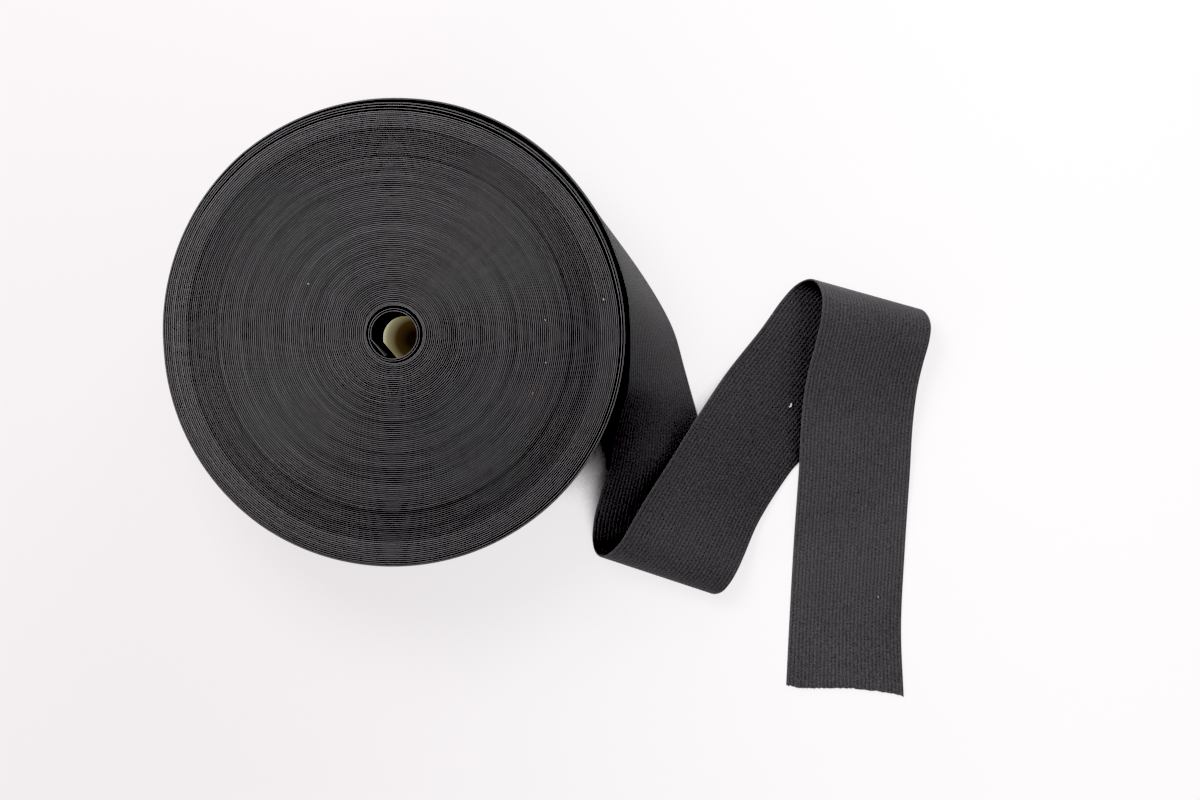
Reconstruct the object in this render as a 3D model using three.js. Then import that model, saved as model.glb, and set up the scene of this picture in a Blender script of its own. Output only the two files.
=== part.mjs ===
// Roll of flat black elastic tape, wound on itself with no core, with its loose end folded back and forth.
// Millimetres, +Z up. Plan places are measured from the roll's axis, +X to the right and +Y away.

import * as THREE from 'three';

// Tape
const TAPE_WIDTH = 60;
const TAPE_THICK = 1;

// Wound roll
const HOLE_RADIUS = 11.3;
const INNER_END_DISTANCE = 10.2;   // from the axis to the straight inner end that cuts across the hole
const INNER_END_ANGLE = 220;       // degrees, the way that the inner end faces from the axis
const ROLL_COLUMNS = 144;
const STEP_ANGLE = 130;            // degrees, where the outermost turn comes away as the loose end
const STEP_SPLIT = 0.05;           // degrees between the two sides of that step

// Radius of the outer wall, read counter-clockwise from the step, where the wall is one turn thicker
const WALL = [
  { angle: 130, radius: 120.0 },
  { angle: 146, radius: 119.2 },
  { angle: 162, radius: 118.3 },
  { angle: 184, radius: 117.3 },
  { angle: 208, radius: 117.9 },
  { angle: 236, radius: 118.6 },
  { angle: 268, radius: 118.2 },
  { angle: 300, radius: 117.8 },
  { angle: 330, radius: 117.8 },
  { angle: 375, radius: 117.5 },
  { angle: 430, radius: 117.6 },
  { angle: 470, radius: 118.3 },
  { angle: 490, radius: 118.6 },
];

// Closed outline of the winding: share of the way from the hole to the wall, and height.
// The turns between the two steps of the upper face sit a little low.
const EDGE_HEIGHT = 0.4;
const EDGE_SHARE = 0.004;
const LOW_BAND = TAPE_WIDTH - 0.7;
const WINDING_OUTLINE = [
  { share: 0, height: EDGE_HEIGHT },
  { share: EDGE_SHARE, height: 0 },
  { share: 1 - EDGE_SHARE, height: 0 },
  { share: 1, height: EDGE_HEIGHT },
  { share: 1, height: TAPE_WIDTH - EDGE_HEIGHT },
  { share: 1 - EDGE_SHARE, height: TAPE_WIDTH },
  { share: 0.88, height: TAPE_WIDTH },
  { share: 0.866, height: LOW_BAND },
  { share: 0.755, height: LOW_BAND },
  { share: 0.741, height: TAPE_WIDTH },
  { share: EDGE_SHARE, height: TAPE_WIDTH },
  { share: 0, height: TAPE_WIDTH - EDGE_HEIGHT },
];

// Loose end
const ACROSS_STEPS = 4;
const STEPS_PER_SECTION = 3;
const FLOOR = TAPE_THICK / 2;      // middle of the tape where it lies flat on the surface

const STANDING_SECTIONS = 22;

// Where it stands on edge against the wall: angle in degrees, clear gap to the wall,
// and how far the lower edge stands out past the upper one.
const STANDING = [
  { angle: 43, gap: 1.9, foot: 1.6 },
  { angle: 60, gap: 2.0, foot: 0.7 },
  { angle: 74, gap: 1.8, foot: 0.2 },
  { angle: 88, gap: 1.1, foot: 0 },
  { angle: 102, gap: 0.8, foot: 0 },
  { angle: 116, gap: 0.5, foot: 0 },
  { angle: 129.5, gap: 0.4, foot: 0 },
];

// Sections past the wall, from the roll to the cut end: the two ends of each, left edge then right edge.
// The left edge is the upper one where the tape stands.
const LYING = [
  // leans out and twists down to the surface
  { left: [97.8, 69.2, 59.9], right: [98.4, 72, 0.1] },
  { left: [106.6, 54.9, 59.6], right: [111, 55.6, 0.1] },
  { left: [115.8, 31.5, 58.9], right: [127.6, 32.4, 0.2] },
  { left: [119, 18, 57.3], right: [138.1, 15.2, 0.4] },
  { left: [119.8, 3.2, 55.3], right: [144.2, 2.4, FLOOR] },
  { left: [119.5, -14, 52.2], right: [149.6, -16.8, FLOOR] },
  { left: [118.5, -27.2, 49], right: [153.5, -31, FLOOR] },
  { left: [115.5, -38.5, 44], right: [156.6, -43, FLOOR] },
  { left: [112.4, -51, 38], right: [158.7, -56, FLOOR] },
  { left: [109.6, -67.3, 31], right: [160.4, -73.4, FLOOR] },
  { left: [104.8, -83.5, 20.5], right: [161.3, -92, FLOOR] },
  { left: [101.5, -96.5, 11.5], right: [161, -109.5, FLOOR] },
  // first bend, curling up and over
  { left: [100.6, -108, 7], right: [159.2, -126, 0.7] },
  { left: [102, -113.8, 9], right: [161.3, -132.6, 2.6] },
  { left: [105.2, -116.2, 14.3], right: [164.6, -136.4, 6.6] },
  { left: [110, -114, 20.2], right: [169.3, -135.2, 10.6] },
  { left: [115.6, -107.8, 23.5], right: [173.5, -130.4, 12.4] },
  // second run, tilted, its left edge clear of the surface
  { left: [121.8, -97.2, 23.4], right: [177.4, -124, 11] },
  { left: [128.6, -85.5, 22.2], right: [181.2, -116.2, 8] },
  { left: [141.2, -66, 20], right: [189, -99, 3.6] },
  { left: [156, -42.3, 17.8], right: [204, -75.4, 1] },
  { left: [171.3, -19.5, 14.2], right: [219.2, -55.8, FLOOR] },
  { left: [190.4, 4.5, 10], right: [238, -32.2, FLOOR] },
  { left: [201, 19.2, 7.6], right: [256.8, -9, FLOOR] },
  // second bend, curling up and over
  { left: [207.3, 26.3, 7.6], right: [267, 4.8, 0.8] },
  { left: [212.3, 29.6, 11], right: [271.6, 11.8, 2.5] },
  { left: [216.6, 30, 17], right: [275.2, 14.5, 6.6] },
  { left: [219.6, 26.4, 23.3], right: [278.2, 11.6, 10.5] },
  { left: [221, 20.2, 27], right: [279.8, 6.2, 12.6] },
  // third run, sinking to the surface
  { left: [220.4, 9.4, 27.3], right: [278.9, -2.4, 13] },
  { left: [217.9, -3.6, 24], right: [276, -13.6, 11.6] },
  { left: [214.8, -16.8, 19], right: [273.4, -25.8, 9.6] },
  { left: [212.7, -30.4, 14], right: [271.9, -38.2, 7.4] },
  { left: [211.6, -44.2, 10], right: [271, -50.8, 5.4] },
  { left: [210.9, -66.8, 5.4], right: [270.2, -71.6, 3] },
  { left: [208.3, -109.6, 1.3], right: [267.8, -112.4, 0.9] },
  { left: [205.9, -153.8, FLOOR], right: [265.8, -155.6, FLOOR] },
  // cut end, its right corner flared
  { left: [204.3, -186.2, FLOOR], right: [267.2, -192.2, FLOOR] },
];

const ELASTIC_COLOUR = 0x3a393b;

/** Value of one column of a table at an angle in degrees, between the rows that the angle lies between. */
function readTable(table, angle, column) {
  const next = Math.max(1, table.findIndex((row) => row.angle >= angle));
  const from = table[next - 1];
  const to = table[next];
  const way = (angle - from.angle) / (to.angle - from.angle);
  return THREE.MathUtils.lerp(from[column], to[column], way);
}

/** Radius of the hole at an angle in degrees: round, but for the straight inner end. */
function holeRadius(angle) {
  const across = Math.cos(THREE.MathUtils.degToRad(angle - INNER_END_ANGLE));
  return across > 0 ? Math.min(HOLE_RADIUS, INNER_END_DISTANCE / across) : HOLE_RADIUS;
}

/** Point at a radius, an angle in degrees and a height about the roll's axis. */
function polar(radius, angle, height) {
  const turn = THREE.MathUtils.degToRad(angle);
  return new THREE.Vector3(radius * Math.cos(turn), radius * Math.sin(turn), height);
}

/** Mesh of one closed body from its points and triangles. */
function closedMesh(name, points, triangles) {
  const geometry = new THREE.BufferGeometry();
  geometry.setAttribute('position', new THREE.Float32BufferAttribute(points.flatMap((p) => p.toArray()), 3));
  geometry.setIndex(triangles);
  geometry.computeVertexNormals();
  const material = new THREE.MeshStandardMaterial({ color: ELASTIC_COLOUR, roughness: 0.9, metalness: 0 });
  const mesh = new THREE.Mesh(geometry, material);
  mesh.name = name;
  return mesh;
}

/** Two triangles of a four-cornered patch, given in order round it. */
function patch(a, b, c, d) {
  return [a, b, c, a, c, d];
}

/** The winding: its closed outline carried once round the axis, with the step where the loose end leaves. */
function makeWoundRoll() {
  const angles = [];
  for (let i = 0; i <= ROLL_COLUMNS; i += 1) {
    const way = i / ROLL_COLUMNS;
    angles.push(STEP_ANGLE + STEP_SPLIT + way * (360 - 2 * STEP_SPLIT));
  }
  const rows = WINDING_OUTLINE.length;
  const points = [];
  for (const angle of angles) {
    const hole = holeRadius(angle);
    const wall = readTable(WALL, angle, 'radius');
    for (const { share, height } of WINDING_OUTLINE) {
      points.push(polar(THREE.MathUtils.lerp(hole, wall, share), angle, height));
    }
  }
  const triangles = [];
  for (let i = 0; i < angles.length; i += 1) {
    const here = i * rows;
    const next = ((i + 1) % angles.length) * rows;
    for (let j = 0; j < rows; j += 1) {
      const up = (j + 1) % rows;
      triangles.push(...patch(here + j, next + j, next + up, here + up));
    }
  }
  return closedMesh('wound_roll', points, triangles);
}

/** Sections of the loose end, from the step on the wall to the cut end. */
function looseEndSections() {
  const standing = [];
  const last = STANDING[0].angle;
  const first = STANDING[STANDING.length - 1].angle;
  for (let i = 0; i < STANDING_SECTIONS; i += 1) {
    const angle = THREE.MathUtils.lerp(first, last, i / (STANDING_SECTIONS - 1));
    const wall = readTable(WALL, angle + 360, 'radius');
    const radius = wall + readTable(STANDING, angle, 'gap') + TAPE_THICK / 2;
    const foot = readTable(STANDING, angle, 'foot');
    standing.push({ left: polar(radius, angle, TAPE_WIDTH), right: polar(radius + foot, angle, 0) });
  }
  const lying = LYING.map(({ left, right }) => ({
    left: new THREE.Vector3(...left),
    right: new THREE.Vector3(...right),
  }));
  return [...standing, ...lying];
}

/** The loose end: a sheet ruled straight from edge to edge, thickened to both sides of its middle. */
function makeLooseEnd() {
  const sections = looseEndSections();
  const leftEdge = new THREE.CatmullRomCurve3(sections.map((section) => section.left));
  const rightEdge = new THREE.CatmullRomCurve3(sections.map((section) => section.right));
  const steps = (sections.length - 1) * STEPS_PER_SECTION;
  const across = ACROSS_STEPS + 1;
  const outer = [];
  const inner = [];
  for (let i = 0; i <= steps; i += 1) {
    const way = i / steps;
    const left = leftEdge.getPoint(way);
    const right = rightEdge.getPoint(way);
    const leftAhead = leftEdge.getTangent(way);
    const rightAhead = rightEdge.getTangent(way);
    const ruling = right.clone().sub(left);
    for (let j = 0; j < across; j += 1) {
      const share = j / ACROSS_STEPS;
      const middle = left.clone().lerp(right, share);
      const ahead = leftAhead.clone().lerp(rightAhead, share);
      const out = ruling.clone().cross(ahead).setLength(TAPE_THICK / 2);
      outer.push(middle.clone().add(out));
      inner.push(middle.clone().sub(out));
    }
  }
  const points = [...outer, ...inner];
  for (const point of points) {
    point.z = Math.max(point.z, 0);
  }
  const triangles = [];
  const innerStart = outer.length;
  for (let i = 0; i < steps; i += 1) {
    const here = i * across;
    const next = here + across;
    for (let j = 0; j < ACROSS_STEPS; j += 1) {
      triangles.push(...patch(here + j, here + j + 1, next + j + 1, next + j));
      const [a, b, c, d] = [here + j, next + j, next + j + 1, here + j + 1].map((k) => k + innerStart);
      triangles.push(...patch(a, b, c, d));
    }
    const far = ACROSS_STEPS;
    triangles.push(...patch(here, next, next + innerStart, here + innerStart));
    triangles.push(...patch(next + far, here + far, here + far + innerStart, next + far + innerStart));
  }
  const last = steps * across;
  for (let j = 0; j < ACROSS_STEPS; j += 1) {
    triangles.push(...patch(j + 1, j, j + innerStart, j + 1 + innerStart));
    triangles.push(...patch(last + j, last + j + 1, last + j + 1 + innerStart, last + j + innerStart));
  }
  return closedMesh('loose_end', points, triangles);
}

// The part stands on z = 0, with its origin under the middle of its box
const roll = new THREE.Group();
roll.add(makeWoundRoll(), makeLooseEnd());
const middle = new THREE.Box3().setFromObject(roll).getCenter(new THREE.Vector3());
roll.position.set(-middle.x, -middle.y, 0);
roll.updateMatrixWorld(true);

export default roll;
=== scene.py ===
"""Roll of flat black elastic tape, wound on itself with no core, its loose end folded back and forth."""

import logging
import math
from dataclasses import dataclass
from enum import Enum
from typing import Any, NamedTuple, Sequence

import bpy
import numpy as np
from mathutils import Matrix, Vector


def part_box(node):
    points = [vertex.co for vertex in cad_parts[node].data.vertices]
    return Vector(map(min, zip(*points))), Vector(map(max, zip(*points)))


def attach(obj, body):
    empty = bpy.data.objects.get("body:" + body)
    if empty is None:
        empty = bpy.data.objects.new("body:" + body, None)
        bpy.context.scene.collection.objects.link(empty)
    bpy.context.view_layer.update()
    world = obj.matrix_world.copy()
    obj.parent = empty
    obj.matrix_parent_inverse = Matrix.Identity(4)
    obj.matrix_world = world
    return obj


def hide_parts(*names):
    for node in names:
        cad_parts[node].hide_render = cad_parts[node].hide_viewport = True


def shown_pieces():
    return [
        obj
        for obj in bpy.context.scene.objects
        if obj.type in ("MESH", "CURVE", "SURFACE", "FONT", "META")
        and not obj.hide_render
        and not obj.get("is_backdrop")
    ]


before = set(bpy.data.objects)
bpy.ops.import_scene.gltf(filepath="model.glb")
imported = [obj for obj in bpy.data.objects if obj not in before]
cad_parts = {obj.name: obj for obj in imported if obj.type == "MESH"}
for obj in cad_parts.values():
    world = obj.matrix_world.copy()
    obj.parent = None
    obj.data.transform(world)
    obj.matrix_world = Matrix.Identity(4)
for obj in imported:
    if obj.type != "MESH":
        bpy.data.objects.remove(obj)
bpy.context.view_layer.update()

LOG = logging.getLogger("roll_of_elastic")
MM = 0.001
SEED = 41

# What a node is given: its own settings by name, and its sockets by name or number
Settings = dict[str, Any] | None
Inputs = dict[Any, Any] | None

# Names shared by the meshes and the finishes that read them
TAPE_UV = "tape"
TONE = "tone"
RUN = "run"
ACROSS = "across"
SIDE = "side"
OUT = "out"
TINT = "tint"
CREST = "crest"

# Middle of the winding's box from its axis, in mm
BOX_MIDDLE_FROM_AXIS = (0.06, -0.11)


class WallRow(NamedTuple):
    """Radius of the outer wall at an angle, in mm and degrees."""

    angle: float
    radius: float


class StandingRow(NamedTuple):
    """Where the loose end stands against the wall: gap to the wall, and how far the lower edge stands out."""

    angle: float
    gap: float
    foot: float


class Section(NamedTuple):
    """Two ends of a straight line across the loose end, in mm from the roll's axis."""

    left: tuple[float, float, float]
    right: tuple[float, float, float]


class SpacingRow(NamedTuple):
    """Spacing of a turn from the one outside it, by turns counted in from the wall."""

    turn: float
    spacing: float


class InnerRow(NamedTuple):
    """Radius of the loose innermost turns, by turns counted out from the inner end."""

    turn: float
    radius: float


class ToneRow(NamedTuple):
    """Tone of the turns, painted shade included, and their sunk depth, by the share of the way from the hole
    to the wall.
    """

    share: float
    tone: float
    sunk: float


class CutRow(NamedTuple):
    """How far the cut end runs past its straight line, by the share across the tape."""

    share: float
    past: float


def table(kind: Any, *rows: tuple) -> tuple:
    """Rows of a table, each made from its values in order."""
    return tuple(kind(*row) for row in rows)


WALL = table(
    WallRow, (130, 120.0), (146, 119.2), (162, 118.3), (184, 117.3), (208, 117.9), (236, 118.6),
    (268, 118.2), (300, 117.8), (330, 117.8), (375, 117.5), (430, 117.6), (470, 118.3), (490, 118.6),
)

STANDING = table(
    StandingRow, (43, 1.9, 1.6), (60, 2.0, 0.7), (74, 1.8, 0.2), (88, 1.1, 0.0), (102, 0.8, 0.0),
    (116, 0.5, 0.0), (129.5, 0.4, 0.0),
)

# Height of the tape's middle where it lies flat
FLAT = 0.5

LYING = table(
    Section,
    # leans out and twists down to the surface
    ((97.8, 69.2, 59.9), (98.4, 72, 0.1)),
    ((106.6, 54.9, 59.6), (111, 55.6, 0.1)),
    ((115.8, 31.5, 58.9), (127.6, 32.4, 0.2)),
    ((119, 18, 57.3), (138.1, 15.2, 0.4)),
    ((119.8, 3.2, 55.3), (144.2, 2.4, FLAT)),
    ((119.5, -14, 52.2), (149.6, -16.8, FLAT)),
    ((118.5, -27.2, 49), (153.5, -31, FLAT)),
    ((115.5, -38.5, 44), (156.6, -43, FLAT)),
    ((112.4, -51, 38), (158.7, -56, FLAT)),
    ((109.6, -67.3, 31), (160.4, -73.4, FLAT)),
    ((104.8, -83.5, 20.5), (161.3, -92, FLAT)),
    ((101.5, -96.5, 11.5), (161, -109.5, FLAT)),
    # first bend, curling up and over
    ((100.6, -108, 7), (159.2, -126, 0.7)),
    ((102, -113.8, 9), (161.3, -132.6, 2.6)),
    ((105.2, -116.2, 14.3), (164.6, -136.4, 6.6)),
    ((110, -114, 20.2), (169.3, -135.2, 10.6)),
    ((115.6, -107.8, 23.5), (173.5, -130.4, 12.4)),
    # second run, tilted, its left edge clear of the surface
    ((121.8, -97.2, 23.4), (177.4, -124, 11)),
    ((128.6, -85.5, 22.2), (181.2, -116.2, 8)),
    ((141.2, -66, 20), (189, -99, 3.6)),
    ((156, -42.3, 17.8), (204, -75.4, 1)),
    ((171.3, -19.5, 14.2), (219.2, -55.8, FLAT)),
    ((190.4, 4.5, 10), (238, -32.2, FLAT)),
    ((201, 19.2, 7.6), (256.8, -9, FLAT)),
    # second bend, curling up and over
    ((207.3, 26.3, 7.6), (267, 4.8, 0.8)),
    ((212.3, 29.6, 11), (271.6, 11.8, 2.5)),
    ((216.6, 30, 17), (275.2, 14.5, 6.6)),
    ((219.6, 26.4, 23.3), (278.2, 11.6, 10.5)),
    ((221, 20.2, 27), (279.8, 6.2, 12.6)),
    # third run, sinking to the surface
    ((220.4, 9.4, 27.3), (278.9, -2.4, 13)),
    ((217.9, -3.6, 24), (276, -13.6, 11.6)),
    ((214.8, -16.8, 19), (273.4, -25.8, 9.6)),
    ((212.7, -30.4, 14), (271.9, -38.2, 7.4)),
    ((211.6, -44.2, 10), (271, -50.8, 5.4)),
    ((210.9, -66.8, 5.4), (270.2, -71.6, 3)),
    ((208.3, -109.6, 1.3), (267.8, -112.4, 0.9)),
    ((205.9, -153.8, FLAT), (265.8, -155.6, FLAT)),
    # cut end, its right corner flared
    ((204.3, -186.2, FLAT), (267.2, -192.2, FLAT)),
)

# The outer turns have worked loose: wide gaps where the tape is about to come away
SPACING = table(
    SpacingRow, (1.0, 1.4), (1.05, 1.05), (1.4, 1.0), (1.5, 1.2), (1.65, 1.3), (1.9, 1.3), (2.0, 1.1),
    (2.05, 1.0), (2.4, 1.0), (2.47, 1.15), (2.56, 1.3), (2.64, 1.5), (2.7, 1.9), (2.83, 1.9), (2.94, 1.2),
    (3.0, 1.0), (3.8, 0.98), (3.86, 1.4), (4.01, 1.4), (4.06, 0.98),
)

INNER_TURNS = table(
    InnerRow, (0.151, 11.93), (0.35, 11.8), (0.6, 11.8), (0.85, 12.4), (1.0, 13.05), (1.15, 12.95),
    (1.6, 12.9), (1.85, 13.4), (2.0, 14.05), (2.15, 14.35), (2.3, 14.7),
)

# Darker in the sunk band as painted shade, with painted shadow lines at its two steps; lighter in the outer
# band
BAND_TONES_AND_PAINTED_SHADE = table(
    ToneRow, (0.0, 0.95, 0.0), (0.05, 1.0, 0.0), (0.737, 1.02, 0.0), (0.742, 0.6, 0.3), (0.749, 0.9, 0.7),
    (0.8, 0.84, 0.7), (0.866, 0.88, 0.7), (0.872, 0.8, 0.4), (0.88, 1.1, 0.0), (1.0, 1.16, 0.0),
)

CUT_END = table(
    CutRow, (0.0, 0.0), (0.12, 0.85), (0.3, -0.2), (0.54, -1.6), (0.79, -1.3), (0.94, -0.7), (1.0, 0.0),
)


def column(rows: Sequence[NamedTuple], name: str) -> np.ndarray:
    """One named column of a table as an array."""
    return np.array([getattr(row, name) for row in rows], float)


def read(rows: Sequence[NamedTuple], key: str, name: str, at: np.ndarray | float) -> np.ndarray:
    """Reads a named column of a table between its rows, which rise in the key column."""
    return np.interp(at, column(rows, key), column(rows, name))


def roll_axis() -> np.ndarray:
    """Place of the roll's axis on the surface, in metres in the frame."""
    low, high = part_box("wound_roll")
    middle = (np.array(low) + np.array(high)) / 2
    return np.array([*(middle[:2] - np.array(BOX_MIDDLE_FROM_AXIS) * MM), 0.0])


AXIS = roll_axis()


def placed(points: np.ndarray) -> np.ndarray:
    """Points in mm from the roll's axis, as metres in the frame."""
    return np.asarray(points, float) * MM + AXIS


def polar(radius: np.ndarray, angle: np.ndarray, height: np.ndarray | float) -> np.ndarray:
    """Points at radii and angles in degrees about the roll's axis, in mm."""
    turn = np.radians(angle)
    level = np.broadcast_to(height, turn.shape)
    return np.stack([radius * np.cos(turn), radius * np.sin(turn), level], axis=-1)


def run_along(points: np.ndarray) -> np.ndarray:
    """Length along a line at each of its points."""
    return np.concatenate([[0], np.cumsum(np.linalg.norm(np.diff(points, axis=0), axis=1))])


def added(name: str, data: bpy.types.ID) -> bpy.types.Object:
    """A new object of the scene, with its data."""
    made = bpy.data.objects.new(name, data)
    bpy.context.scene.collection.objects.link(made)
    return made


class Value:
    """A number socket of a node tree, with the operators that expressions on it use."""

    def __init__(self, tree: "NodeTree", socket: bpy.types.NodeSocket) -> None:
        """Wraps one output socket of a tree."""
        self.tree = tree
        self.socket = socket

    def _math(self, operation: str, *terms: Any) -> "Value":
        """One Math node on numbers or values, in their order."""
        return self.tree.value("ShaderNodeMath", {"operation": operation}, dict(enumerate(terms)))

    def __add__(self, other: Any) -> "Value":
        """This value plus another."""
        return self._math("ADD", self, other)

    __radd__ = __add__

    def __sub__(self, other: Any) -> "Value":
        """This value less another."""
        return self._math("SUBTRACT", self, other)

    def __rsub__(self, other: Any) -> "Value":
        """Another less this value."""
        return self._math("SUBTRACT", other, self)

    def __mul__(self, other: Any) -> "Value":
        """This value times another."""
        return self._math("MULTIPLY", self, other)

    __rmul__ = __mul__

    def __truediv__(self, other: Any) -> "Value":
        """This value over another."""
        return self._math("DIVIDE", self, other)

    def __pow__(self, other: Any) -> "Value":
        """This value to a power."""
        return self._math("POWER", self, other)

    def __abs__(self) -> "Value":
        """The size of this value."""
        return self._math("ABSOLUTE", self)

    def fraction(self) -> "Value":
        """What is left of this value past its whole number."""
        return self._math("FRACT", self)

    def whole(self) -> "Value":
        """The whole number at or under this value."""
        return self._math("FLOOR", self)

    def at_most(self, other: Any) -> "Value":
        """The lesser of this value and another."""
        return self._math("MINIMUM", self, other)

    def at_least(self, other: Any) -> "Value":
        """The greater of this value and another."""
        return self._math("MAXIMUM", self, other)

    def over(self, base: float, span: float) -> "Value":
        """This value times a span, over a base."""
        return base + self * span

    def rise(self, low: float, high: float) -> "Value":
        """A smooth step of this value, from 0 at the low end to 1 at the high one."""
        ends = {"Value": self, "From Min": low, "From Max": high}
        return self.tree.value("ShaderNodeMapRange", {"interpolation_type": "SMOOTHSTEP"}, ends)


class NodeTree:
    """Adds nodes to one shader or geometry tree."""

    def __init__(self, tree: bpy.types.NodeTree) -> None:
        """Takes an empty tree."""
        self.tree = tree

    def node(self, kind: str, settings: Settings = None, inputs: Inputs = None) -> bpy.types.Node:
        """Adds a node.

        Args:
            kind: the node's type.
            settings: its own settings, which are set first.
            inputs: its sockets, each with a number, a value, a socket, or a node for its first output.

        Returns:
            The node.
        """
        made = self.tree.nodes.new(kind)
        for name, setting in (settings or {}).items():
            setattr(made, name, setting)
        for key, term in (inputs or {}).items():
            if isinstance(term, bpy.types.Node):
                term = term.outputs[0]
            elif isinstance(term, Value):
                term = term.socket
            if isinstance(term, bpy.types.NodeSocket):
                self.tree.links.new(term, made.inputs[key])
            else:
                made.inputs[key].default_value = term
        return made

    def value(self, kind: str, settings: Settings = None, inputs: Inputs = None, output: Any = 0) -> Value:
        """Adds a node as node() does, and gives one of its outputs as a value."""
        return Value(self, self.node(kind, settings, inputs).outputs[output])

    def parts(self, vector: bpy.types.NodeSocket) -> list[Value]:
        """The three numbers of a vector."""
        split = self.node("ShaderNodeSeparateXYZ", None, {0: vector})
        return [Value(self, socket) for socket in split.outputs]

    def scaled(self, vector: Any, scale: Value) -> bpy.types.NodeSocket:
        """A colour or vector, as numbers or a socket, times a value."""
        inputs = {0: vector, "Scale": scale}
        return self.node("ShaderNodeVectorMath", {"operation": "SCALE"}, inputs).outputs[0]


class ShaderTree(NodeTree):
    """A material with one Principled shader, dressed by expressions."""

    def __init__(self, name: str) -> None:
        """Makes the material and empties its tree."""
        self.material = bpy.data.materials.new(name)
        self.material.use_nodes = True
        super().__init__(self.material.node_tree)
        self.tree.nodes.clear()

    def place(self) -> bpy.types.NodeSocket:
        """Object coordinates."""
        return self.node("ShaderNodeTexCoord").outputs["Object"]

    def tape_place(self) -> bpy.types.NodeSocket:
        """Place on the flat tape: length along it, and across it."""
        return self.node("ShaderNodeUVMap", {"uv_map": TAPE_UV}).outputs[0]

    def stored(self, name: str) -> Value:
        """A number that the mesh carries."""
        return self.value("ShaderNodeAttribute", {"attribute_name": name}, None, "Fac")

    def noise(self, place: bpy.types.NodeSocket, scale: float, detail: float = 2.0) -> Value:
        """Soft noise about 0.5, with its scale in cells per metre and its number of finer layers."""
        return self.value("ShaderNodeTexNoise", None, {"Vector": place, "Scale": scale, "Detail": detail})

    def bump(self, strength: float, depth: float, height: Value) -> bpy.types.NodeSocket:
        """A bumped normal, from its strength, its depth in mm and the height over the surface."""
        inputs = {"Strength": strength, "Distance": depth * MM, "Height": height}
        return self.node("ShaderNodeBump", None, inputs).outputs[0]

    def blend(self, share: Value, first: Any, second: Any) -> bpy.types.NodeSocket:
        """A mix of two colours.

        Args:
            share: share of the second colour.
            first: a colour, or its socket.
            second: a colour, or its socket.

        Returns:
            The mixed colour's socket.
        """
        colours = [(*c, 1.0) if isinstance(c, tuple) else c for c in (first, second)]
        inputs = {"Factor": share, "A": colours[0], "B": colours[1]}
        return self.node("ShaderNodeMix", {"data_type": "RGBA"}, inputs).outputs["Result"]

    def finish(self, inputs: dict[str, Any]) -> bpy.types.Material:
        """Adds the shader and the output.

        Args:
            inputs: the Principled shader's sockets.

        Returns:
            The material.
        """
        shader = self.node("ShaderNodeBsdfPrincipled", None, inputs)
        self.node("ShaderNodeOutputMaterial", None, {"Surface": shader.outputs[0]})
        return self.material


class GeometryTree(NodeTree):
    """A Geometry Nodes tree with named inputs, which ends in Realize Instances and Set Material."""

    FINISH = "Finish"

    def __init__(self, name: str, sizes: Sequence[str]) -> None:
        """Makes the tree and its inputs.

        Args:
            name: the tree's name.
            sizes: names of its number inputs.
        """
        super().__init__(bpy.data.node_groups.new(name, "GeometryNodeTree"))
        face = self.tree.interface
        face.new_socket("Geometry", in_out="INPUT", socket_type="NodeSocketGeometry")
        self.identifiers = {
            size: face.new_socket(size, in_out="INPUT", socket_type="NodeSocketFloat").identifier
            for size in sizes
        }
        finish = face.new_socket(self.FINISH, in_out="INPUT", socket_type="NodeSocketMaterial")
        self.identifiers[self.FINISH] = finish.identifier
        face.new_socket("Geometry", in_out="OUTPUT", socket_type="NodeSocketGeometry")
        self.given = self.tree.nodes.new("NodeGroupInput")

    def size(self, name: str) -> Value:
        """One of the tree's number inputs."""
        return Value(self, self.given.outputs[name])

    def attribute(self, name: str, data_type: str = "FLOAT") -> bpy.types.NodeSocket:
        """A named attribute of the geometry."""
        made = self.node("GeometryNodeInputNamedAttribute", {"data_type": data_type}, {"Name": name})
        return made.outputs[0]

    def place(self) -> list[Value]:
        """The three coordinates of each point."""
        return self.parts(self.node("GeometryNodeInputPosition").outputs[0])

    def store(self, geometry: bpy.types.Node, name: str, value: Any, settings: Settings) -> bpy.types.Node:
        """Stores a value on the geometry under a name."""
        inputs = {"Geometry": geometry, "Name": name, "Value": value}
        return self.node("GeometryNodeStoreNamedAttribute", settings, inputs)

    def sweep(self, path: bpy.types.Node, section: bpy.types.Node) -> bpy.types.Node:
        """A closed section carried along a path, with its ends filled."""
        inputs = {"Curve": path, "Profile Curve": section, "Fill Caps": True}
        return self.node("GeometryNodeCurveToMesh", None, inputs)

    def close(self, geometry: bpy.types.Node) -> None:
        """Ends the tree in Realize Instances and Set Material."""
        real = self.node("GeometryNodeRealizeInstances", None, {"Geometry": geometry})
        inputs = {"Geometry": real, "Material": self.given.outputs[self.FINISH]}
        self.node("NodeGroupOutput", None, {0: self.node("GeometryNodeSetMaterial", None, inputs)})

    def applied(
        self, name: str, mesh: bpy.types.Mesh, finish: bpy.types.Material, sizes: dict[str, float]
    ) -> bpy.types.Object:
        """Runs the tree on a mesh.

        Args:
            name: name of the piece.
            mesh: what the tree is given.
            finish: the piece's material.
            sizes: the tree's number inputs.

        Returns:
            The piece, as a plain mesh at the origin.
        """
        piece = added(name, mesh)
        modifier = piece.modifiers.new(self.tree.name, "NODES")
        modifier.node_group = self.tree
        for key, given in {**sizes, self.FINISH: finish}.items():
            modifier[self.identifiers[key]] = given
        graph = bpy.context.evaluated_depsgraph_get()
        made = bpy.data.meshes.new_from_object(
            piece.evaluated_get(graph), preserve_all_data_layers=True, depsgraph=graph
        )
        piece.modifiers.remove(modifier)
        piece.data = made
        made.name = name
        bpy.data.meshes.remove(mesh)
        return piece


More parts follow.
